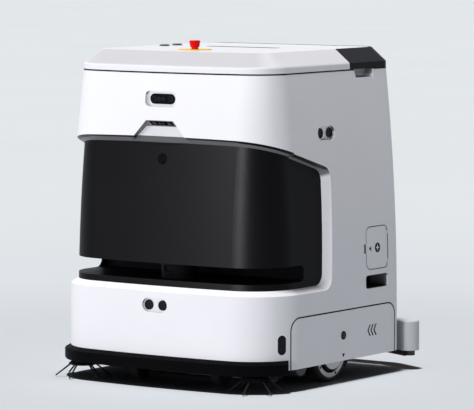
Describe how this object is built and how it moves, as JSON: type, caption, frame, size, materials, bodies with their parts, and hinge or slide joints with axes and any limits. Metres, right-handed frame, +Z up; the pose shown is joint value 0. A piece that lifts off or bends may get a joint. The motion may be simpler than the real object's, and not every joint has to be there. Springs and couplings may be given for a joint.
{
  "type": "floor cleaning robot",
  "caption": "Self-driving floor cleaning robot: curved white shell, wrap-around dark panel with lidar slot, side brushes, scrub roller, casters, rear squeegee, hinged hatch and lift-off doors.",
  "frame": {"origin": "on the floor, midway between the front of the side brushes and the back of the squeegee, on the middle plane", "axes": "+Z up, the robot drives towards -Y, +X is its left side"},
  "size_m": [0.5976, 0.6203, 0.7117],
  "materials": {
    "white_shell": "satin white moulding",
    "dark_panel": "satin charcoal moulding",
    "bumper_rubber": "matt black rubber",
    "black_glass": "polished black window",
    "sensor_black": "fine matt black",
    "grey_plastic": "fine-grained grey",
    "red_plastic": "gloss red",
    "yellow_plastic": "satin yellow",
    "button_grey": "satin grey",
    "steel": "brushed",
    "chassis_paint": "black anodised sheet",
    "motor_paint": "black paint",
    "tyre_rubber": "matt grooved rubber",
    "hub_grey": "light grey moulding",
    "fork_steel": "zinc plate",
    "caster_tread": "dark grey tread",
    "brush_plastic": "black moulding",
    "bristle": "stiff nylon bristle",
    "tuft_black": "stiff black nylon bristle bundles",
    "squeegee_plastic": "grey moulding",
    "squeegee_base": "black moulding",
    "blade_rubber": "salmon red rubber",
    "tank_plastic": "pale moulded polyethylene",
    "battery_case": "dark blue-black case",
    "controller_case": "ribbed black case"
  },
  "bodies": {
    "frame": {"chassis_plate": "chassis_paint", "body_shell": "white_shell", "front_panel": "dark_panel", "lidar_tray": "dark_panel", "lidar_base": "sensor_black", "bumper_strip": "bumper_rubber", "upper_depth_camera": "black_glass", "lower_depth_camera": "black_glass", "panel_camera": "black_glass", "sonar_sensors": "sensor_black", "corner_windows": "black_glass", "top_cover": "white_shell", "status_strip": "black_glass", "estop_collar": "yellow_plastic", "hatch_hinge_pins": "steel", "drive_motors": "motor_paint", "side_brush_motors": "motor_paint", "brush_deck": "brush_plastic", "roller_motor": "motor_paint", "service_socket": "grey_plastic", "grip_cups": "grey_plastic", "battery_pack": "battery_case", "clean_water_tank": "tank_plastic", "recovery_tank": "tank_plastic", "vacuum_motor": "motor_paint", "controller_box": "controller_case"},
    "lidar": {"lidar_head": "sensor_black"},
    "estop": {"estop_button": "red_plastic"},
    "power": {"power_button": "button_grey"},
    "start": {"start_button": "button_grey"},
    "hatch": {"rear_hatch": "dark_panel", "hatch_panel": "white_shell"},
    "flap": {"service_flap": "white_shell"},
    "roller": {"roller_core": "brush_plastic", "roller_bristles": "bristle"},
    "squeegee": {"squeegee_housing": "squeegee_plastic", "squeegee_holder": "squeegee_base", "squeegee_front_blade": "blade_rubber", "squeegee_rear_blade": "blade_rubber", "squeegee_arms": "steel"},
    "left_wheel": {"left_drive_tyre": "tyre_rubber", "left_drive_hub": "hub_grey"},
    "left_brush": {"left_brush_disc": "brush_plastic", "left_brush_tufts": "tuft_black"},
    "left_door": {"left_side_door": "white_shell"},
    "left_lock": {"left_door_lock": "steel"},
    "right_wheel": {"right_drive_tyre": "tyre_rubber", "right_drive_hub": "hub_grey"},
    "right_brush": {"right_brush_disc": "brush_plastic", "right_brush_tufts": "tuft_black"},
    "right_door": {"right_side_door": "white_shell"},
    "right_lock": {"right_door_lock": "steel"},
    "front_left_fork": {"front_left_caster_fork": "fork_steel"},
    "front_left_roll": {"front_left_caster_wheel": "caster_tread"},
    "front_right_fork": {"front_right_caster_fork": "fork_steel"},
    "front_right_roll": {"front_right_caster_wheel": "caster_tread"},
    "rear_left_fork": {"rear_left_caster_fork": "fork_steel"},
    "rear_left_roll": {"rear_left_caster_wheel": "caster_tread"},
    "rear_right_fork": {"rear_right_caster_fork": "fork_steel"},
    "rear_right_roll": {"rear_right_caster_wheel": "caster_tread"}
  },
  "joints": [
    {"name": "lidar_spin", "type": "hinge", "parent": "frame", "child": "lidar", "pos_m": [0, -0.208, 0.24], "axis": [0, 0, 1], "continuous": true},
    {"name": "estop_press", "type": "slide", "parent": "frame", "child": "estop", "axis": [0, 0, -1], "range_m": [0, 0.004], "stiffness_N_per_m": 1500, "springref_m": -0.001},
    {"name": "power_press", "type": "slide", "parent": "frame", "child": "power", "axis": [0, 0, -1], "range_m": [0, 0.0012], "stiffness_N_per_m": 1200, "springref_m": -0.0005},
    {"name": "start_press", "type": "slide", "parent": "frame", "child": "start", "axis": [0, 0, -1], "range_m": [0, 0.0012], "stiffness_N_per_m": 1200, "springref_m": -0.0005},
    {"name": "hatch_hinge", "type": "hinge", "parent": "frame", "child": "hatch", "pos_m": [0, 0.0578, 0.69], "axis": [1, 0, 0], "range_deg": [0, 100]},
    {"name": "flap_hinge", "type": "hinge", "parent": "frame", "child": "flap", "pos_m": [0.27579, 0.15925, 0.272], "axis": [-0.0317, 0, 0.9995], "range_deg": [0, 100]},
    {"name": "roller_spin", "type": "hinge", "parent": "frame", "child": "roller", "pos_m": [0, -0.112, 0.041], "axis": [1, 0, 0], "continuous": true},
    {"name": "squeegee_lift", "type": "hinge", "parent": "frame", "child": "squeegee", "pos_m": [0, 0.165, 0.05], "axis": [1, 0, 0], "range_deg": [-11, 0]},
    {"name": "left_wheel_spin", "type": "hinge", "parent": "frame", "child": "left_wheel", "pos_m": [0.235, -0.022, 0.0645], "axis": [1, 0, 0], "continuous": true},
    {"name": "left_brush_spin", "type": "hinge", "parent": "frame", "child": "left_brush", "pos_m": [0.222, -0.25, 0.032], "axis": [0, 0, 1], "continuous": true},
    {"name": "left_door_pull", "type": "slide", "parent": "frame", "child": "left_door", "axis": [1, 0, 0], "range_m": [0, 0.06]},
    {"name": "left_lock_turn", "type": "hinge", "parent": "left_door", "child": "left_lock", "pos_m": [0.276, -0.012, 0.098], "axis": [1, 0, 0], "range_deg": [0, 90]},
    {"name": "right_wheel_spin", "type": "hinge", "parent": "frame", "child": "right_wheel", "pos_m": [-0.235, -0.022, 0.0645], "axis": [1, 0, 0], "continuous": true},
    {"name": "right_brush_spin", "type": "hinge", "parent": "frame", "child": "right_brush", "pos_m": [-0.222, -0.25, 0.032], "axis": [0, 0, 1], "continuous": true},
    {"name": "right_door_pull", "type": "slide", "parent": "frame", "child": "right_door", "axis": [-1, 0, 0], "range_m": [0, 0.06]},
    {"name": "right_lock_turn", "type": "hinge", "parent": "right_door", "child": "right_lock", "pos_m": [-0.276, -0.012, 0.098], "axis": [1, 0, 0], "range_deg": [0, 90]},
    {"name": "front_left_swivel", "type": "hinge", "parent": "frame", "child": "front_left_fork", "pos_m": [0.105, -0.222, 0.09], "axis": [0, 0, 1], "continuous": true},
    {"name": "front_left_roll_spin", "type": "hinge", "parent": "front_left_fork", "child": "front_left_roll", "pos_m": [0.105, -0.204, 0.029], "axis": [1, 0, 0], "continuous": true},
    {"name": "front_right_swivel", "type": "hinge", "parent": "frame", "child": "front_right_fork", "pos_m": [-0.105, -0.222, 0.09], "axis": [0, 0, 1], "continuous": true},
    {"name": "front_right_roll_spin", "type": "hinge", "parent": "front_right_fork", "child": "front_right_roll", "pos_m": [-0.105, -0.204, 0.029], "axis": [1, 0, 0], "continuous": true},
    {"name": "rear_left_swivel", "type": "hinge", "parent": "frame", "child": "rear_left_fork", "pos_m": [0.15, 0.148, 0.09], "axis": [0, 0, 1], "continuous": true},
    {"name": "rear_left_roll_spin", "type": "hinge", "parent": "rear_left_fork", "child": "rear_left_roll", "pos_m": [0.15, 0.166, 0.029], "axis": [1, 0, 0], "continuous": true},
    {"name": "rear_right_swivel", "type": "hinge", "parent": "frame", "child": "rear_right_fork", "pos_m": [-0.15, 0.148, 0.09], "axis": [0, 0, 1], "continuous": true},
    {"name": "rear_right_roll_spin", "type": "hinge", "parent": "rear_right_fork", "child": "rear_right_roll", "pos_m": [-0.15, 0.166, 0.029], "axis": [1, 0, 0], "continuous": true}
  ]
}
